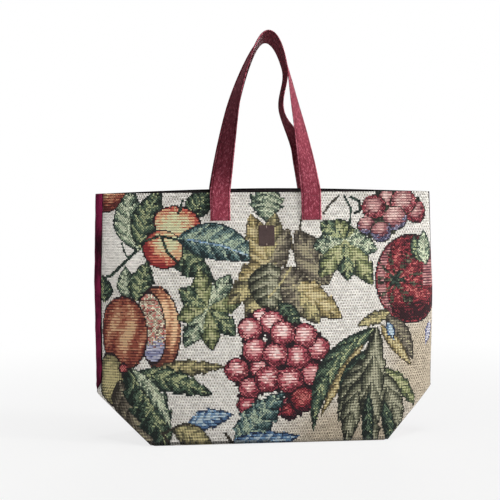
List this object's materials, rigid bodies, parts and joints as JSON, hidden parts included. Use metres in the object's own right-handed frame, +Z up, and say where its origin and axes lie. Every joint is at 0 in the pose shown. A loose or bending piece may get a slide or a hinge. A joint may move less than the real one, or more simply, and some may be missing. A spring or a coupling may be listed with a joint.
{
  "type": "fabric tote bag",
  "caption": "Soft fabric tote bag with a boxed bottom, a woven fruit-and-leaf front, a plush back, a dark lining, webbing carrying handles and a small bare leather label.",
  "frame": {"origin": "on the ground under the middle of the bag's flat bottom", "axes": "+Z up along the bag's height to the handles, +X along the rim to the right as seen from the front, -Y out of the woven front"},
  "size_m": [0.4317, 0.1088, 0.5086],
  "materials": {
    "tapestry": "ribbed tapestry weave, cream ground with coloured fruit and leaves, matt",
    "velvet": "short-pile burgundy plush, soft sheen",
    "lining": "thin plain dark lining cloth, matt",
    "webbing": "burgundy twill-woven cotton webbing, matt",
    "leather": "brown leather, fine grain, low sheen"
  },
  "bodies": {
    "root": {"front_panel": "tapestry", "back_panel": "velvet", "lining_front": "lining", "lining_back": "lining", "front_handle": "webbing", "back_handle": "webbing", "label": "leather"}
  },
  "joints": []
}
